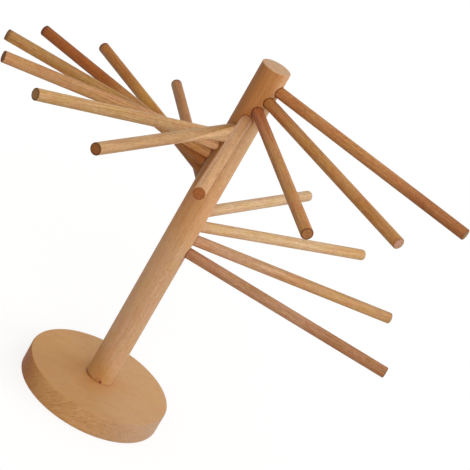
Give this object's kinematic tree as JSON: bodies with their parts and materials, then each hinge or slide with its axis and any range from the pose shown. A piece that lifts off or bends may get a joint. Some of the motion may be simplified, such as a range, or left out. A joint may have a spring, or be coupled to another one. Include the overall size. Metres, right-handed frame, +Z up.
{
  "type": "pasta drying rack",
  "caption": "Free-standing wooden rack: round dowel arms plugged one below the other in a descending helix around a post on a turned disc base, for hanging fresh pasta to dry.",
  "frame": {"origin": "centre of the base's underside, on the surface the rack stands on", "axes": "+Z up along the post; -Y points along the fourth arm, towards the picture's camera; +X points along the lowest arm"},
  "size_m": [0.482, 0.482, 0.4],
  "materials": {
    "base": "bare sanded beech, unvarnished",
    "post": "bare sanded beech, unvarnished",
    "base_screw": "zinc-plated, plain",
    "arm_01": "bare sanded beech, unvarnished",
    "arm_02": "bare sanded beech, unvarnished",
    "arm_03": "bare sanded beech, unvarnished",
    "arm_04": "bare sanded beech, unvarnished",
    "arm_05": "bare sanded beech, unvarnished",
    "arm_06": "bare sanded beech, unvarnished",
    "arm_07": "bare sanded beech, unvarnished",
    "arm_08": "bare sanded beech, unvarnished",
    "arm_09": "bare sanded beech, unvarnished",
    "arm_10": "bare sanded beech, unvarnished",
    "arm_11": "bare sanded beech, unvarnished",
    "arm_12": "bare sanded beech, unvarnished",
    "arm_13": "bare sanded beech, unvarnished",
    "arm_14": "bare sanded beech, unvarnished",
    "arm_15": "bare sanded beech, unvarnished",
    "arm_16": "bare sanded beech, unvarnished"
  },
  "bodies": {
    "stand": {"base": "base", "post": "post", "base_screw": "base_screw"},
    "arm_01_body": {"arm_01": "arm_01"},
    "arm_02_body": {"arm_02": "arm_02"},
    "arm_03_body": {"arm_03": "arm_03"},
    "arm_04_body": {"arm_04": "arm_04"},
    "arm_05_body": {"arm_05": "arm_05"},
    "arm_06_body": {"arm_06": "arm_06"},
    "arm_07_body": {"arm_07": "arm_07"},
    "arm_08_body": {"arm_08": "arm_08"},
    "arm_09_body": {"arm_09": "arm_09"},
    "arm_10_body": {"arm_10": "arm_10"},
    "arm_11_body": {"arm_11": "arm_11"},
    "arm_12_body": {"arm_12": "arm_12"},
    "arm_13_body": {"arm_13": "arm_13"},
    "arm_14_body": {"arm_14": "arm_14"},
    "arm_15_body": {"arm_15": "arm_15"},
    "arm_16_body": {"arm_16": "arm_16"}
  },
  "joints": [
    {"name": "arm_01_pull", "type": "slide", "parent": "stand", "child": "arm_01_body", "axis": [0.9367, -0.3502, -0.0052], "range_m": [0, 0.024]},
    {"name": "arm_02_pull", "type": "slide", "parent": "stand", "child": "arm_02_body", "axis": [0.7144, -0.6996, 0.0105], "range_m": [0, 0.024]},
    {"name": "arm_03_pull", "type": "slide", "parent": "stand", "child": "arm_03_body", "axis": [0.4067, -0.9135, 0], "range_m": [0, 0.024]},
    {"name": "arm_04_pull", "type": "slide", "parent": "stand", "child": "arm_04_body", "axis": [0.0087, -0.9999, 0.0122], "range_m": [0, 0.024]},
    {"name": "arm_05_pull", "type": "slide", "parent": "stand", "child": "arm_05_body", "axis": [-0.3891, -0.921, -0.0192], "range_m": [0, 0.024]},
    {"name": "arm_06_pull", "type": "slide", "parent": "stand", "child": "arm_06_body", "axis": [-0.6946, -0.7192, 0.0175], "range_m": [0, 0.024]},
    {"name": "arm_07_pull", "type": "slide", "parent": "stand", "child": "arm_07_body", "axis": [-0.9076, -0.4194, 0.0175], "range_m": [0, 0.024]},
    {"name": "arm_08_pull", "type": "slide", "parent": "stand", "child": "arm_08_body", "axis": [-1, 0, -0.0035], "range_m": [0, 0.024]},
    {"name": "arm_09_pull", "type": "slide", "parent": "stand", "child": "arm_09_body", "axis": [-0.9271, 0.3746, 0.0087], "range_m": [0, 0.024]},
    {"name": "arm_10_pull", "type": "slide", "parent": "stand", "child": "arm_10_body", "axis": [-0.712, 0.7021, 0.0122], "range_m": [0, 0.024]},
    {"name": "arm_11_pull", "type": "slide", "parent": "stand", "child": "arm_11_body", "axis": [-0.3746, 0.9271, 0.0087], "range_m": [0, 0.024]},
    {"name": "arm_12_pull", "type": "slide", "parent": "stand", "child": "arm_12_body", "axis": [0, 1, 0], "range_m": [0, 0.024]},
    {"name": "arm_13_pull", "type": "slide", "parent": "stand", "child": "arm_13_body", "axis": [0.3826, 0.9236, -0.0262], "range_m": [0, 0.024]},
    {"name": "arm_14_pull", "type": "slide", "parent": "stand", "child": "arm_14_body", "axis": [0.7133, 0.7009, 0], "range_m": [0, 0.024]},
    {"name": "arm_15_pull", "type": "slide", "parent": "stand", "child": "arm_15_body", "axis": [0.9317, 0.3633, -0.0017], "range_m": [0, 0.024]},
    {"name": "arm_16_pull", "type": "slide", "parent": "stand", "child": "arm_16_body", "axis": [0.9998, -0.0192, -0.0087], "range_m": [0, 0.024]}
  ]
}
